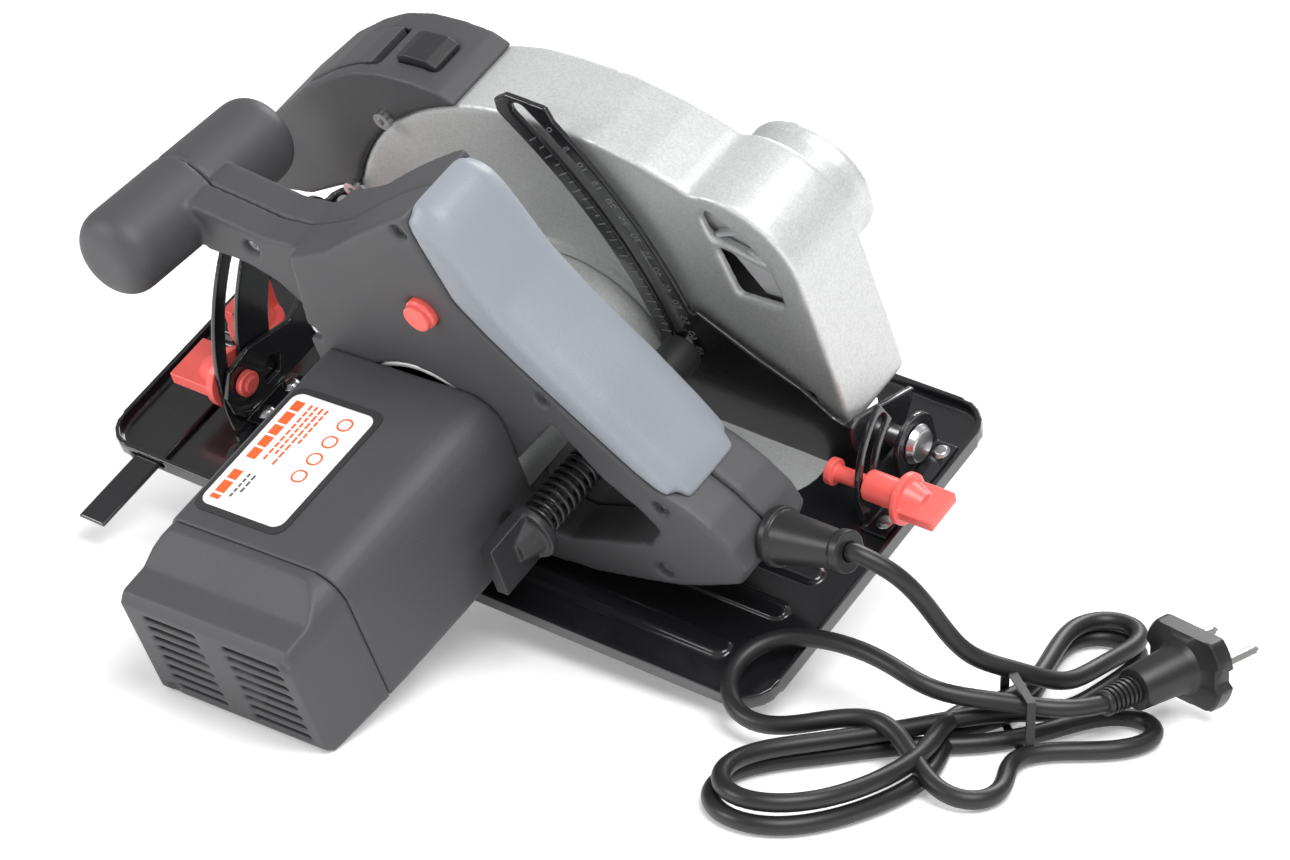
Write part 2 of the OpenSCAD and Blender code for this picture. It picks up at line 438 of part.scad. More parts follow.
module left_handle_shell() color([0.2, 0.2, 0.21]) saw() {
  difference() {
    union() { slab(HY + 0.02, 126) shell2d(); }
    shell_cut();
    bar() ycyl(0, 0, bar_d / 2 - 0.04, -30, 30);
    slab(120, 130) polygon([[188, 60], [250, 60], [250, 140], [176, 130]]);
    ycyl(120, 109, 6.06, 100, 130);
    for (p = screws) ycyl(p[0], p[1], 3.3, p[0] > 190 ? 116 : 121.5, 130);
  }
  bar_half(1);
}
module right_handle_shell() color([0.2, 0.2, 0.21]) saw() {
  difference() {
    slab(90, HY - 0.02) shell2d();
    shell_cut();
    bar() ycyl(0, 0, bar_d / 2 - 0.04, -30, 30);
    slab(88, 96) polygon([[188, 60], [250, 60], [250, 140], [176, 130]]);
  }
  bar_half(-1);
}
module soft_grip() color([0.36, 0.38, 0.42]) saw() union() {
  slab(95, 121) polygon(grip_out);
  intersection() { slab(91, 125) polygon(grip_out); slab(90, 126) polygon([[34, 40], [36, 52], [44, 64], [58, 82], [74, 101], [87, 118], [94, 134], [99, 144], [103, 149.4], [118, 153], [118, 120], [90, 90], [60, 60]]); }
}
module handle_screws() color([0.6, 0.6, 0.62]) saw() for (p = screws) {
  y = p[0] > 190 ? 116 : 121.5;
  difference() { ycyl(p[0], p[1], 2.9, y + 0.02, y + 2.2); ycyl(p[0], p[1], 1.3, y + 1, y + 3, $fn = 6); }
  ycyl(p[0], p[1], 1.48, p[0] == 78.5 ? 118.4 : y - 20, y + 0.1);
}
module trigger() color([0.14, 0.14, 0.15]) saw() difference() {
  slab(99, 117) polygon([[82, 84], [88, 78], [88, 68], [80, 60], [70, 50], [60, 44.5], [55, 46], [58, 52], [68, 63], [75, 74]]);
  ycyl(84, 78, 2.05, 90, 130);
}
module trigger_pin() color([0.7, 0.7, 0.72]) saw() ycyl(84, 78, 2, 93, 123);
module lock_off_button() color([0.92, 0.22, 0.2]) saw() { ycyl(120, 109, 6, 113, 128); ycyl(120, 109, 5.2, 128, 130.4); }
module switch_module() color([0.12, 0.12, 0.13]) saw() difference() {
  translate([106, 98, 86.5]) cube([18, 14, 13]);
  ycyl(120, 109, 8, 90, 130);
}

// ---------------------------------------------------------------- depth lock
module depth_bolt() color([0.55, 0.55, 0.57]) saw() {
  ycyl(DX, DZ, 5.6, 44.9, 46.3);
  ycyl(DX, DZ, 3, 46.2, 144);
}
module depth_sleeve() color([0.13, 0.13, 0.14]) saw() race(DX, DZ, 7.5, 3.1, 50.2, 101.6);
module depth_spring() color([0.16, 0.16, 0.17]) saw() difference() {
  for (k = [0:11]) translate([DX, 103 + k * 3.2, DZ]) rotate([-90, 0, 0]) rotate_extrude() translate([6.2, 0]) circle(r = 1.0, $fn = 14);
}
module depth_knob() color([0.13, 0.13, 0.14]) saw() difference() {
  union() {
    ycyl(DX, DZ, 11, 141.4, 144.6);
    ycone(DX, DZ, 8.6, 5, 144.6, 153);
    translate([DX - 2.6, 144.6, DZ - 10.5]) cube([5.2, 19, 21]);
  }
  ycyl(DX, DZ, 3.06, 130, 150);
}

// ---------------------------------------------------------------- lead
module cord_gland() color([0.15, 0.15, 0.16]) saw() translate([10.8, HY, 24.6]) rotate([0, -90 + 8, 0]) difference() {
  union() {
    translate([0, 0, -9]) cylinder(r = 6, h = 10);
    cylinder(r = 10.5, h = 3.4);
    translate([0, 0, 3.4]) cylinder(r1 = 9.4, r2 = 6.3, h = 26);
    translate([0, 0, 28]) cylinder(r = 7.4, h = 4);
  }
  translate([0, 0, -12]) cylinder(r = cord_d / 2, h = 60);
}
// the lead lies on the bench: x and y from the corner of the base, z from the bench
module bench() { translate([off[0], off[1], 0]) children(); }
module hank() { bench() translate([-66, 82, 0]) rotate(230) children(); }
free_way = [[-20.9, 110.1, 66.9], [-27, 109.8, 67.2], [-33, 107, 64.6], [-38, 102, 58.6], [-41.5, 96, 49.6], [-44.5, 90, 40], [-48, 85.5, 31], [-53, 82, 24.6]];
loop_way = [[-47, 104, 20], [-34, 98.5, 24], [-14, 98.5, 26.5], [4, 102.5, 26.5], [15.5, 110, 24], [19.5, 118.5, 20], [16, 131.5, 13.5], [7, 139, 9], [-6, 141.5, 6.6], [-22, 136, 6.2]];
module cord_tube() color([0.08, 0.08, 0.085]) bench() sweep(smooth(free_way, 3), cord_d / 2);
module cord_loop() color([0.08, 0.08, 0.085]) bench() sweep(smooth(loop_way, 3), cord_d / 2);
module cord_bundle() color([0.08, 0.08, 0.085]) {
  // waist of the hank
  hank() translate([0, 0, 0.3]) linear_extrude(21) polygon(rrect(-9, -15, 10, 15, 6));
  // loop wound round the waist
  hank() translate([0, 0, 0.3]) linear_extrude(13) polygon(rrect(-27, -50, -9.4, -4, 7));
  // turns to the left
  bench() translate([0, 0, 0.3]) linear_extrude(12.6) polygon([[-24, 140.4], [-14, 150], [-9, 166], [-14, 182], [-30, 190.5], [-48, 186], [-60, 168], [-66, 142], [-66, 133], [-60, 118], [-48, 108], [-38, 112], [-30, 126]]);
  // turns to the right, and those under the plug
  hank() translate([0, 0, 0.3]) linear_extrude(14) polygon([[10.4, 15], [10.4, 2], [20, 5], [34, 15], [44, 26], [50, 34], [60, 40], [66, 48], [66, 58], [58, 67], [46, 70], [36, 62], [24, 40]]);
  hank() translate([0, 0, 0.3]) linear_extrude(7) polygon([[10.4, -15], [10.4, -1], [24, -1], [44, -1], [50, -6], [50, -13], [44, -17], [28, -17], [18, -20]]);
}
module cord_tie() color([0.12, 0.12, 0.13]) hank() translate([4, 0, 0]) difference() {
  translate([-1.5, -16.2, 0]) cube([3, 32.4, 22.6]);
  translate([-3, -15.1, 0.2]) cube([6, 30.2, 21.2]);
}
module plug() { bench() translate([-92.2, 63.6, 15.7]) rotate([0, 0, 258]) rotate([0, 90 - 4, 0]) children(); }
module plug_body() color([0.13, 0.13, 0.14]) plug() difference() {
  union() {
    cylinder(r1 = 4.4, r2 = 5.4, h = 14.1);
    translate([0, 0, 14]) cylinder(r1 = 7.5, r2 = 9, h = 23.1);
    translate([0, 0, 37]) cylinder(r = 18.3, h = 7);
  }
  translate([0, 0, -1]) cylinder(r = cord_d / 2, h = 13);
  for (s = [-1, 1]) translate([0, s * 9.5, 41]) cylinder(r = 2.1, h = 4);
}
module plug_pins() color([0.78, 0.78, 0.78]) plug() for (s = [-1, 1]) translate([0, s * 9.5, 41]) { cylinder(r = 2.1, h = 3.2); translate([0, 0, 3.1]) cylinder(r = 2.4, h = 16.9); translate([0, 0, 20]) cylinder(r1 = 2.4, r2 = 1.5, h = 2); }

base_plate();
front_quadrant();
rear_bevel_ear();
front_pivot_tab();
base_rivets();
rip_fence();
fence_knob();
front_bevel_bracket();
rear_bevel_bracket();
bevel_pivot_rivets();
front_bevel_knob();
rear_bevel_knob();
depth_pivot_pin();
upper_guard();
laser_cover();
laser_battery_cover();
laser_button();
laser_module();
guard_screws();
gear_case();
motor_housing();
motor_end_cap();
rating_plate();
stator();
armature();
commutator();
cooling_fan();
carbon_brushes();
brush_holders();
armature_bearings();
spindle();
drive_gear();
spindle_bearings();
inner_flange();
outer_flange();
blade_bolt();
saw_blade();
lower_guard();
guard_lever();
guard_spring();
spindle_lock();
left_handle_shell();
right_handle_shell();
soft_grip();
handle_screws();
trigger();
trigger_pin();
lock_off_button();
switch_module();
depth_bolt();
depth_sleeve();
depth_knob();
depth_spring();
cord_gland();
cord_tube();
cord_loop();
cord_bundle();
cord_tie();
plug_body();
plug_pins();
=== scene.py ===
import json
import math

import bmesh
import bpy
from mathutils import Matrix, Vector


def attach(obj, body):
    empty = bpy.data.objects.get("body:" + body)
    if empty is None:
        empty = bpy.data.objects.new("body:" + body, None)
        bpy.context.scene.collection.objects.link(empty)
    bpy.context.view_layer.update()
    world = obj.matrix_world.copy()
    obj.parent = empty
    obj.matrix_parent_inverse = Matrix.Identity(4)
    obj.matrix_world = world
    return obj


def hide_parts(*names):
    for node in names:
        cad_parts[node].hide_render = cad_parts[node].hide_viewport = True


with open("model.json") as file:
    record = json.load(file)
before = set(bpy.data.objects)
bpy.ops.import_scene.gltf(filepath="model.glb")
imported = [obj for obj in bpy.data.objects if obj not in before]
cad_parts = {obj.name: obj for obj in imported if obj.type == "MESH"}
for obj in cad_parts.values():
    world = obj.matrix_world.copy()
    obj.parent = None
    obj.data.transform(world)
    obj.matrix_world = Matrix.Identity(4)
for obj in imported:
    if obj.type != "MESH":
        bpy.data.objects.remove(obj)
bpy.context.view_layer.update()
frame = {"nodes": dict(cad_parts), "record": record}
nodes = frame["nodes"]
body_of = {}
for b, members in frame["record"]["behaviour"]["bodies"].items():
    for n in members:
        body_of[n] = b
slot_of = {s["node"]: s["material_slot"] for s in frame["record"]["subparts"]}
scene = bpy.context.scene

# ------------------------------------------------------------- frames, mm in
OFF = Vector((-139.52, -112.47, 86.73))
S = Matrix.Translation(OFF * 0.001) @ Matrix.Rotation(math.radians(-25.37), 4, "X")
P = Vector((0.274, 0, 0.014))
B = S @ Matrix.Translation(P) @ Matrix.Rotation(math.radians(-4.24), 4, "Y") @ Matrix.Translation(-P)


def sp(x, y, z):
    return S @ (Vector((x, y, z)) * 0.001)


def bp(x, y, z):
    return B @ (Vector((x, y, z)) * 0.001)


def bench(x, y, z):
    return Vector((x + OFF.x, y + OFF.y, z)) * 0.001


# ------------------------------------------------------------- camera
cam_data = bpy.data.cameras.new("camera")
cam = bpy.data.objects.new("camera", cam_data)
scene.collection.objects.link(cam)
cam_data.sensor_width = 36.0
cam_data.lens = 119.43
cam_data.shift_x, cam_data.shift_y = 0.0009, 0.0012
cam_data.clip_start, cam_data.clip_end = 0.05, 20.0
B3 = B.to_3x3()
r = B3 @ Vector((-0.79606, -0.56940, -0.20511))
v = B3 @ Vector((0.52403, -0.47894, -0.70428))
r.normalize()
v.normalize()
u = r.cross(v).normalized()
m = Matrix((r, u, -v)).transposed().to_4x4()
m.translation = bp(-689.096, 792.685, 1080.611)
cam.matrix_world = m
scene.camera = cam


# ------------------------------------------------------------- materials
def material(name, color, rough, metal=0.0, fine=900.0, bump=0.05, var=0.12, rvar=0.12,
             coat=0.0, sparkle=0.0, wear=0.0, edge=(0.5, 0.5, 0.5), sheen=0.0, cell=False):
    mt = bpy.data.materials.new(name)
    mt.use_nodes = True
    t = mt.node_tree
    p = t.nodes["Principled BSDF"]
    p.inputs["Metallic"].default_value = metal
    p.inputs["Coat Weight"].default_value = coat
    p.inputs["Coat Roughness"].default_value = 0.12
    p.inputs["Sheen Weight"].default_value = sheen
    tc = t.nodes.new("ShaderNodeTexCoord")

    def noise(scale, detail=3.0):
        n = t.nodes.new("ShaderNodeTexNoise")
        n.inputs["Scale"].default_value = scale
        n.inputs["Detail"].default_value = detail
        t.links.new(tc.outputs["Object"], n.inputs["Vector"])
        return n.outputs["Fac"]

    big, small = noise(28.0, 5.0), noise(fine)
    ramp = t.nodes.new("ShaderNodeMapRange")
    ramp.inputs["To Min"].default_value = max(0.03, rough - rvar)
    ramp.inputs["To Max"].default_value = min(1.0, rough + rvar)
    t.links.new(big, ramp.inputs["Value"])
    t.links.new(ramp.outputs["Result"], p.inputs["Roughness"])
    mix = t.nodes.new("ShaderNodeMix")
    mix.data_type = "RGBA"
    mix.inputs["A"].default_value = (*[c * (1 - var) for c in color], 1)
    mix.inputs["B"].default_value = (*[min(1, c * (1 + var)) for c in color], 1)
    t.links.new(small if sparkle else big, mix.inputs["Factor"])
    out = mix.outputs["Result"]
    if sparkle:
        vor = t.nodes.new("ShaderNodeTexVoronoi")
        vor.inputs["Scale"].default_value = 1500.0
        t.links.new(tc.outputs["Object"], vor.inputs["Vector"])
        mr = t.nodes.new("ShaderNodeMapRange")
        mr.inputs["From Min"].default_value = 0.0
        mr.inputs["From Max"].default_value = 1.0
        mr.inputs["To Min"].default_value = 1 - sparkle
        mr.inputs["To Max"].default_value = 1 + sparkle * 0.6
        sep = t.nodes.new("ShaderNodeSeparateColor")
        t.links.new(vor.outputs["Color"], sep.inputs["Color"])
        t.links.new(sep.outputs["Red"], mr.inputs["Value"])
        vm = t.nodes.new("ShaderNodeVectorMath")
        vm.operation = "SCALE"
        t.links.new(out, vm.inputs[0])
        t.links.new(mr.outputs["Result"], vm.inputs["Scale"])
        out = vm.outputs["Vector"]
    if wear:
        g = t.nodes.new("ShaderNodeNewGeometry")
        w = t.nodes.new("ShaderNodeMapRange")
        w.inputs["From Min"].default_value = 0.53
        w.inputs["From Max"].default_value = 0.62
        w.inputs["To Max"].default_value = wear
        t.links.new(g.outputs["Pointiness"], w.inputs["Value"])
        m2 = t.nodes.new("ShaderNodeMix")
        m2.data_type = "RGBA"
        m2.inputs["B"].default_value = (*edge, 1)
        t.links.new(out, m2.inputs["A"])
        t.links.new(w.outputs["Result"], m2.inputs["Factor"])
        out = m2.outputs["Result"]
    t.links.new(out, p.inputs["Base Color"])
    bn = t.nodes.new("ShaderNodeBump")
    bn.inputs["Strength"].default_value = 1.0
    bn.inputs["Distance"].default_value = bump * 0.001
    if cell:
        vo = t.nodes.new("ShaderNodeTexVoronoi")
        vo.inputs["Scale"].default_value = fine
        t.links.new(tc.outputs["Object"], vo.inputs["Vector"])
        t.links.new(vo.outputs["Distance"], bn.inputs["Height"])
    else:
        t.links.new(small, bn.inputs["Height"])
    t.links.new(bn.outputs["Normal"], p.inputs["Normal"])
    return mt


M = {
    "enamel": material("enamel", (0.012, 0.012, 0.014), 0.22, fine=260, bump=0.05, rvar=0.06, coat=0.5, wear=0.3, edge=(0.06, 0.06, 0.065)),
    "red_plastic": material("red_plastic", (0.96, 0.14, 0.12), 0.33, fine=1200, bump=0.02, var=0.06, wear=0.2, edge=(0.9, 0.2, 0.16)),
    "cast_alloy": material("cast_alloy", (0.62, 0.63, 0.625), 0.42, metal=0.45, fine=2600, bump=0.022, sparkle=0.10, var=0.03, rvar=0.05, wear=0.15, edge=(0.74, 0.74, 0.74)),
    "steel": material("steel", (0.62, 0.62, 0.63), 0.28, metal=1.0, fine=1400, bump=0.02),
    "blade_steel": material("blade_steel", (0.5, 0.5, 0.52), 0.3, metal=1.0, fine=700, bump=0.03),
    "housing_plastic": material("housing_plastic", (0.062, 0.062, 0.066), 0.52, fine=2200, bump=0.10, var=0.10, wear=0.22, edge=(0.14, 0.14, 0.145)),
    "black_plastic": material("black_plastic", (0.022, 0.022, 0.024), 0.45, fine=1600, bump=0.05, wear=0.2, edge=(0.09, 0.09, 0.09)),
    "spring_black": material("spring_black", (0.02, 0.02, 0.022), 0.3, fine=900, bump=0.02, coat=0.3),
    "label": material("label", (0.88, 0.88, 0.87), 0.35, fine=600, bump=0.01, var=0.02, coat=0.3),
    "brass": material("brass", (0.6, 0.43, 0.2), 0.35, metal=1.0, fine=1200, bump=0.02),
    "copper": material("copper", (0.6, 0.28, 0.14), 0.35, metal=1.0, fine=900, bump=0.03),
    "grip_rubber": material("grip_rubber", (0.25, 0.27, 0.305), 0.40, fine=1500, bump=0.06, var=0.05, sheen=0.15, cell=True),
    "lead_rubber": material("lead_rubber", (0.012, 0.012, 0.013), 0.42, fine=1500, bump=0.03, var=0.15),
    "pin_nickel": material("pin_nickel", (0.72, 0.71, 0.7), 0.2, metal=1.0, fine=900, bump=0.01),
    "cast_rough": material("cast_rough", (0.62, 0.62, 0.63), 0.6, metal=0.1, fine=1600, bump=0.05, var=0.08),
    "print_red": material("print_red", (0.8, 0.13, 0.03), 0.4, bump=0.005, var=0.04),
    "print_grey": material("print_grey", (0.12, 0.12, 0.12), 0.5, bump=0.005, var=0.1),
    "embossed": material("embossed", (0.22, 0.22, 0.225), 0.3, bump=0.005, var=0.08, coat=0.3),
    "print_white": material("print_white", (0.75, 0.75, 0.74), 0.45, bump=0.005, var=0.05),
}


def set_mat(o, mt):
    o.data.materials.clear()
    o.data.materials.append(mt)


def link(name, me):
    o = bpy.data.objects.new(name, me)
    scene.collection.objects.link(o)
    return o


def baked(o):
    dg = bpy.context.evaluated_depsgraph_get()
    me = bpy.data.meshes.new_from_object(o.evaluated_get(dg))
    o.modifiers.clear()
    o.data = me
    return me


# CAD nodes rounded off: a voxel shape in the node's own frame, then smoothed
def soften(node, voxel=0.9, it=5, F=S, grow=0.0, factor=0.5):
    src = nodes[node]
    me = src.data.copy()
    if "custom_normal" in me.attributes:
        me.attributes.remove(me.attributes["custom_normal"])
    inv = F.inverted()
    me.transform(inv)
    o = link(node + "_look", me)
    w = o.modifiers.new("w", "WELD")
    w.merge_threshold = 0.00001
    rm = o.modifiers.new("r", "REMESH")
    rm.mode = "VOXEL"
    rm.voxel_size = voxel * 0.001
    s = o.modifiers.new("s", "SMOOTH")
    s.factor = factor
    s.iterations = it
    if grow:
        d = o.modifiers.new("d", "DISPLACE")
        d.mid_level = 0.0
        d.strength = grow * 0.001
    me = baked(o)
    me.transform(F)
    me.shade_smooth()
    set_mat(o, M[slot_of[node]])
    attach(o, body_of[node])
    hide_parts(node)
    return o


SOFT = [
    ("left_handle_shell", 0.9, 16, S, 0.25), ("right_handle_shell", 0.9, 16, S, 0.25), ("soft_grip", 1.0, 70, S, 1.5),
    ("laser_cover", 0.8, 12, S), ("laser_battery_cover", 0.5, 3, S), ("laser_button", 0.4, 4, S),
    ("upper_guard", 0.9, 16, S, 0.15), ("gear_case", 0.9, 4, S),
    ("motor_housing", 0.8, 6, S), ("motor_end_cap", 0.8, 3, S),
    ("depth_knob", 0.4, 4, S), ("lock_off_button", 0.35, 3, S), ("depth_sleeve", 0.5, 3, S),
    ("cord_gland", 0.45, 4, S), ("trigger", 0.6, 6, S), ("guard_lever", 0.5, 4, S),
    ("base_plate", 0.75, 2, B), ("front_quadrant", 0.45, 2, B), ("rear_bevel_ear", 0.45, 2, B),
    ("rip_fence", 0.5, 2, B), ("fence_knob", 0.35, 4, B),
    ("front_bevel_bracket", 0.5, 2, B), ("rear_bevel_bracket", 0.5, 2, B),
    ("front_bevel_knob", 0.35, 4, B), ("rear_bevel_knob", 0.35, 4, B),
    ("lower_guard", 0.9, 4, S), ("base_rivets", 0.3, 2, B), ("bevel_pivot_rivets", 0.35, 2, B),
]
for row in SOFT:
    soften(*row)
for n, o in nodes.items():
    if not o.hide_render:
        me = o.data
        o.data.materials.clear()
        o.data.materials.append(M[slot_of[n]])

# ------------------------------------------------------------- the lead
A230 = math.radians(230)


def hk(x, y, z):
    return (-66 + x * math.cos(A230) - y * math.sin(A230), 82 + x * math.sin(A230) + y * math.cos(A230), z)


way = [(-20.9, 110.1, 66.9), (-27, 109.8, 67.2), (-33, 107, 64.6), (-38, 102, 58.6), (-41.5, 96, 49.6),
       (-44.5, 90, 40), (-48, 85.5, 31), (-53, 82, 25.2)]
way += [hk(2, 10, 24), hk(14, 10, 18), hk(25, 15, 12), hk(36, 25, 10.4), hk(47, 34, 10.4), hk(59, 42, 10.4),
        hk(65, 52, 10.4), hk(62.5, 62, 10.4), hk(53, 67, 10.4), hk(43.5, 63.5, 10.4), hk(36, 54, 10.4), hk(28, 41, 10.4), hk(18, 24, 10.4), hk(8, 13, 10.2)]
way += [hk(-4, 9.5, 10), hk(-18, 4, 10), (-58, 112, 10), (-61, 126, 10), (-61, 142, 10), (-56, 164, 10), (-45, 180, 10), (-30, 185.5, 10),
        (-18, 178, 10), (-14, 165, 10), (-19, 150, 10), (-29, 137, 10), (-37, 124, 10), (-45, 112, 10)]
way += [hk(-12, 2, 10), hk(0, 3, 10), hk(12, 4, 8), hk(24, 10, 4.5), hk(36, 20, 3.6), hk(47, 30, 3.6), hk(60, 41, 3.6), hk(65, 53, 3.6),
        hk(58, 65, 3.6), hk(45, 67, 3.6), hk(35, 57, 3.6), hk(25, 40, 3.6), hk(15, 22, 3.6), hk(6, 12, 3.6)]
way += [hk(-6, 8, 3.6), hk(-20, 2, 3.6), (-62, 114, 3.6), (-64.5, 128, 3.6), (-64, 143, 3.6), (-58, 166, 3.6), (-47, 183, 3.6), (-30, 188, 3.6),
        (-16, 180, 3.6), (-11.5, 165, 3.6), (-16, 150, 3.6), (-26, 137, 3.6), (-35, 124, 3.6), (-46, 110, 3.6)]
way += [hk(-12, -6, 3.6), hk(0, -5, 3.6), hk(12, -2, 3.6), hk(26, 3.5, 3.6), hk(38, 7.5, 3.6), hk(48.5, 4.5, 3.6), hk(53.5, -4.5, 3.6), hk(49.5, -14, 3.6), hk(40, -18.5, 3.6),
        hk(28, -18.5, 3.6), hk(16, -15.5, 3.6), hk(5, -13.5, 3.6), hk(-4, -18, 3.7), hk(-7.5, -29, 3.7), hk(-11, -40.5, 3.7), hk(-19.5, -47.5, 3.7),
        hk(-29, -45, 3.8), hk(-34.5, -36, 5), hk(-37, -25, 9), hk(-39, -14, 13), hk(-41.5, -6, 14.6)]
way += [(-37, 116, 14.5), (-24, 128, 13), (-10, 138, 9), (4, 138.6, 9.4), (14.5, 131, 13.5), (18.5, 119, 19.7), (14.6, 110.4, 23.8),
        (4, 103.4, 26.3), (-14, 99, 26.5), (-34, 99, 24.5), (-46, 101.5, 21)]
way += [hk(-14, 1, 17.6), hk(-2, -3, 17.4), hk(8, -9, 16.8)]
D258 = math.radians(258)
pdir = Vector((math.cos(math.radians(4)) * math.cos(D258), math.cos(math.radians(4)) * math.sin(D258), math.sin(math.radians(4))))
T0 = Vector((-92.2, 63.6, 15.7))
way += [tuple(T0 - pdir * 6), tuple(T0 + pdir * 4)]


def smooth_way(pts, step):
    w = [Vector(p) for p in pts]
    out = []
    for i in range(len(w) - 1):
        a, b, c, d = w[max(i - 1, 0)], w[i], w[i + 1], w[min(i + 2, len(w) - 1)]
        k = max(2, round((c - b).length / step))
        for j in range(k):
            t = j / k
            out.append(0.5 * (2 * b + (c - a) * t + (2 * a - 5 * b + 4 * c - d) * t * t + (3 * b - a - 3 * c + d) * t ** 3))
    out.append(w[-1])
    for _ in range(16):
        out = [out[0], out[1]] + [(out[i - 1] + out[i] * 2 + out[i + 1]) / 4 for i in range(2, len(out) - 2)] + out[-2:]
    for p in out:
        p.z = max(p.z, 3.45)
    return out


pts = smooth_way(way, 3.2)
cu = bpy.data.curves.new("mains_lead", "CURVE")
cu.dimensions = "3D"
sl = cu.splines.new("POLY")
sl.points.add(len(pts) - 1)
for q, p in zip(sl.points, pts):
    w = bench(*p)
    q.co = (w.x, w.y, w.z, 1)
cu.bevel_depth = 0.0032
cu.bevel_resolution = 5
cu.use_fill_caps = True
lead = bpy.data.objects.new("mains_lead", cu)
scene.collection.objects.link(lead)
cu.materials.append(M["lead_rubber"])
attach(lead, "saw_body")
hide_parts("cord_tube", "cord_loop", "cord_bundle")


# ------------------------------------------------------------- lathe, prisms, text
def lathe(name, prof, F, mt, body, n=64, caps=True):
    vs, fs = [], []
    for rr, z in prof:
        for k in range(n):
            a = 2 * math.pi * k / n
            vs.append(F @ (Vector((rr * math.cos(a), rr * math.sin(a), z)) * 0.001))
    for i in range(len(prof) - 1):
        for k in range(n):
            fs.append((i * n + k, i * n + (k + 1) % n, (i + 1) * n + (k + 1) % n, (i + 1) * n + k))
    if caps:
        fs.append(tuple(reversed(range(n))))
        fs.append(tuple((len(prof) - 1) * n + k for k in range(n)))
    me = bpy.data.meshes.new(name)
    me.from_pydata(vs, [], fs)
    me.update()
    o = link(name, me)
    me.shade_smooth()
    me.set_sharp_from_angle(angle=math.radians(40))
    set_mat(o, mt)
    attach(o, body)
    return o


def prism(name, outline, h, F, mt, body):
    n = len(outline)
    vs = [F @ (Vector((x, y, z)) * 0.001) for z in (0, h) for x, y in outline]
    fs = [tuple(reversed(range(n))), tuple(range(n, 2 * n))] + [(i, (i + 1) % n, n + (i + 1) % n, n + i) for i in range(n)]
    me = bpy.data.meshes.new(name)
    me.from_pydata(vs, [], fs)
    me.update()
    o = link(name, me)
    set_mat(o, mt)
    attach(o, body)
    return o


def slab(name, outline, y0, y1, F, mt, body):
    n = len(outline)
    bm = bmesh.new()
    rows = [[bm.verts.new(F @ (Vector((x, y, z)) * 0.001)) for x, z in outline] for y in (y0, y1)]
    bm.faces.new(rows[0])
    bm.faces.new(rows[1])
    for i in range(n):
        bm.faces.new((rows[0][i], rows[0][(i + 1) % n], rows[1][(i + 1) % n], rows[1][i]))
    bmesh.ops.recalc_face_normals(bm, faces=bm.faces)
    bmesh.ops.bevel(bm, geom=list(bm.edges), offset=min(0.0004, (y1 - y0) * 0.0003), segments=2, affect="EDGES")
    me = bpy.data.meshes.new(name)
    bm.to_mesh(me)
    bm.free()
    o = link(name, me)
    set_mat(o, mt)
    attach(o, body)
    return o


def rounded(x0, y0, x1, y1, rr, n=6):
    out = []
    for cx, cy, a0 in ((x1 - rr, y1 - rr, 0), (x0 + rr, y1 - rr, 90), (x0 + rr, y0 + rr, 180), (x1 - rr, y0 + rr, 270)):
        for i in range(n + 1):
            a = math.radians(a0 + 90 * i / n)
            out.append((cx + rr * math.cos(a), cy + rr * math.sin(a)))
    return out


def box_outline(x0, y0, x1, y1):
    return [(x0, y0), (x1, y0), (x1, y1), (x0, y1)]


# plug: ribbed sleeve, contoured disc, two pins (the pins are the CAD's)
zax = pdir.normalized()
yax = Vector((-math.sin(D258), math.cos(D258), 0))
xax = yax.cross(zax)
PF = Matrix((xax, yax, zax)).transposed().to_4x4()
PF.translation = bench(*T0)
prof = [(3.9, 0), (4.3, 0.3)]
for k in range(7):
    z = 0.8 + k * 1.9
    prof += [(4.5 + 0.12 * k, z), (4.5 + 0.12 * k, z + 1.0), (3.9 + 0.12 * k, z + 1.15), (3.9 + 0.12 * k, z + 1.8)]
prof += [(5.0, 14.1), (7.2, 14.3), (7.6, 14.8), (8.6, 33.5), (10, 36), (13.5, 37), (17.4, 37.3), (18.1, 38), (18.2, 43.2), (17.7, 43.9), (4, 44)]
plug_o = lathe("plug_look", prof, PF, M["lead_rubber"], "saw_body")
PI = PF.inverted()
for vx in plug_o.data.vertices:
    q = PI @ vx.co
    if q.z > 0.0345:
        side = 0.0128 if abs(q.y) < 0.0125 else 0.0138
        q.x = max(-side, min(side, q.x))
        if abs(q.x) < 0.0035 and abs(q.y) > 0.012:
            q.y *= 0.87
        vx.co = PF @ q
plug_o.data.update()
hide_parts("plug_body")

# label: a raised pad, then generic bars, blocks and rings, no words
PADF = S @ Matrix.Translation((0, 0, 0.07395))
pad = prism("label_pad", rounded(133.6, 146.2, 174.8, 206.8, 5), 0.42, PADF, M["black_plastic"], "saw_body")
LF = S @ Matrix.Translation((0, 0, 0.07445))
marks = []
for y0, y1 in ((152.5, 157), (158, 163.5), (164.5, 169), (170, 175), (176, 181), (187, 191.5), (192.5, 198), (199, 201)):
    marks.append((166.2, y0, 170.4, y1, "print_red"))
for row, (y0, y1, st) in enumerate(((152.5, 182, 3.1), (152.5, 177, 2.7), (152.5, 183, 3.6), (152.5, 172, 2.9), (187, 201, 2.4), (187, 198, 3.0))):
    x0 = (162.6, 160.2, 157.8, 155.4, 162.6, 160.2)[row]
    y = y0
    while y < y1 - st:
        marks.append((x0, y, x0 + 1.0, y + st - 0.7, "print_red" if row < 4 else "print_grey"))
        y += st
for y0 in (153, 161.5, 170, 178.5):
    marks.append((142.2, y0, 148.4, y0 + 5.8, "ring"))
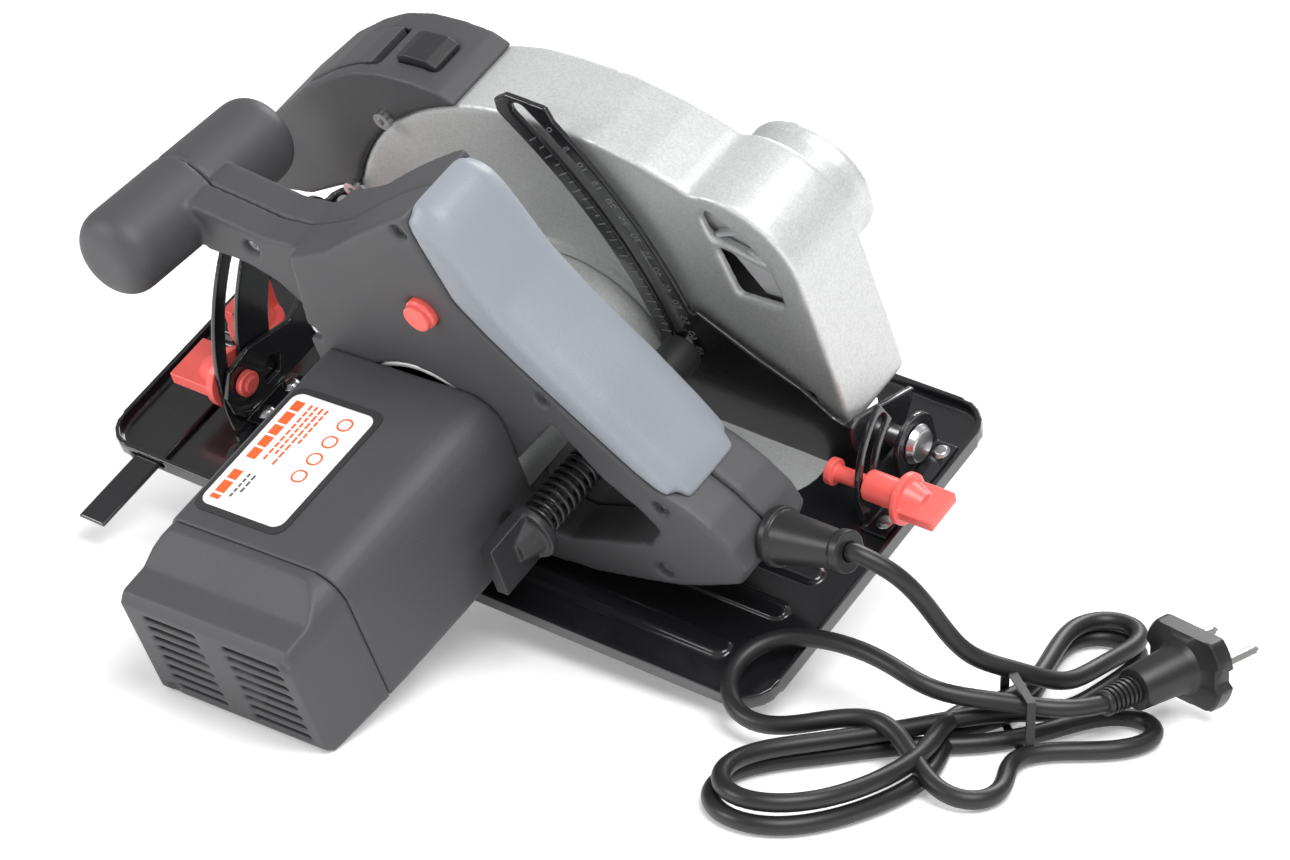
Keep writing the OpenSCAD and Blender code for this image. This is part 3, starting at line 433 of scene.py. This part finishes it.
for n_, (x0, y0, x1, y1, c) in enumerate(marks):
    if c == "ring":
        prism("label_mark_%d" % n_, rounded(x0, y0, x1, y1, 2.8), 0.05, LF, M["print_red"], "saw_body")
        prism("label_mark_%d_in" % n_, rounded(x0 + 0.8, y0 + 0.8, x1 - 0.8, y1 - 0.8, 1.9), 0.07, LF, M["label"], "saw_body")
    else:
        prism("label_mark_%d" % n_, box_outline(x0, y0, x1, y1), 0.05, LF, M[c], "saw_body")

# back of the recess in the rear of the guard, and its ribs
slab("guard_recess_back", [(38, 60), (52.5, 60), (60, 73), (70, 88), (70, 98), (62, 104), (46, 95), (38, 84)], 37.4, 38.6, S, M["cast_rough"], "saw_body")
slab("guard_recess_rib_1", [(41, 79.5), (49, 84), (51, 83.4), (43, 78.4)], 38.4, 42.6, S, M["cast_rough"], "saw_body")
slab("guard_recess_rib_2", [(50, 91), (51.6, 91.6), (64, 87.4), (63.4, 85.8)], 38.4, 42.0, S, M["cast_rough"], "saw_body")

# depth scale: raised lines inside the slot, raised numbers outside it
FONT_H = 4.4
for k, d in enumerate(range(0, 66, 5)):
    for half in (0, 1):
        dd = d + 2.5 * half
        if dd > 65:
            continue
        a = math.radians(170.4 - (math.degrees(math.asin((81 - dd) / 135.0)) - 6.8))
        er = Vector((math.cos(a), 0, math.sin(a)))
        et = er.cross(Vector((0, 1, 0)))
        F = B @ Matrix.Translation(Vector((274, 48.80, 14)) * 0.001) @ Matrix((-et, er, Vector((0, 1, 0)))).transposed().to_4x4()
        prism("scale_line_%d_%d" % (k, half), box_outline(-0.22, 177.2 if not half else 178.8, 0.22, 181.6), 0.14, F, M["embossed"], "bevel_frame")
        if not half:
            tx = bpy.data.curves.new("number", "FONT")
            tx.body = str(d)
            tx.size = FONT_H * 0.001
            tx.extrude = 0.00006
            tx.align_x = "CENTER"
            to = bpy.data.objects.new("tmp_number", tx)
            scene.collection.objects.link(to)
            me = bpy.data.meshes.new_from_object(to.evaluated_get(bpy.context.evaluated_depsgraph_get()))
            bpy.data.objects.remove(to)
            me.transform(F @ Matrix.Translation((0, 0.1902, 0.0001)))
            o = link("scale_number_%d" % k, me)
            set_mat(o, M["embossed"])
            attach(o, "bevel_frame")

# ------------------------------------------------------------- floor and light
me = bpy.data.meshes.new("floor")
me.from_pydata([(-6, -6, -0.0002), (6, -6, -0.0002), (6, 6, -0.0002), (-6, 6, -0.0002)], [], [(0, 1, 2, 3)])
floor = link("floor", me)
fm = bpy.data.materials.new("floor")
fm.use_nodes = True
fp = fm.node_tree.nodes["Principled BSDF"]
fp.inputs["Base Color"].default_value = (0.93, 0.93, 0.93, 1)
fp.inputs["Roughness"].default_value = 0.7
fp.inputs["Emission Color"].default_value = (1, 1, 1, 1)
fp.inputs["Emission Strength"].default_value = 0.25
set_mat(floor, fm)
world = bpy.data.worlds.new("world")
scene.world = world
world.use_nodes = True
world.node_tree.nodes["Background"].inputs["Color"].default_value = (1, 1, 1, 1)
world.node_tree.nodes["Background"].inputs["Strength"].default_value = 0.42
scene.view_settings.view_transform = "Standard"


def area(name, loc, target, size, power):
    d = bpy.data.lights.new(name, "AREA")
    d.size = size
    d.energy = power
    o = bpy.data.objects.new(name, d)
    scene.collection.objects.link(o)
    o.location = loc
    o.rotation_euler = (Vector(target) - Vector(loc)).to_track_quat("-Z", "Y").to_euler()


area("key", (-0.75, 0.35, 1.25), (0, 0, 0.08), 0.8, 19)
area("side", (0.9, 1.2, 0.7), (0, 0, 0.08), 0.5, 10)
area("rim", (0.2, -1.2, 1.0), (0, 0, 0.08), 0.7, 12)
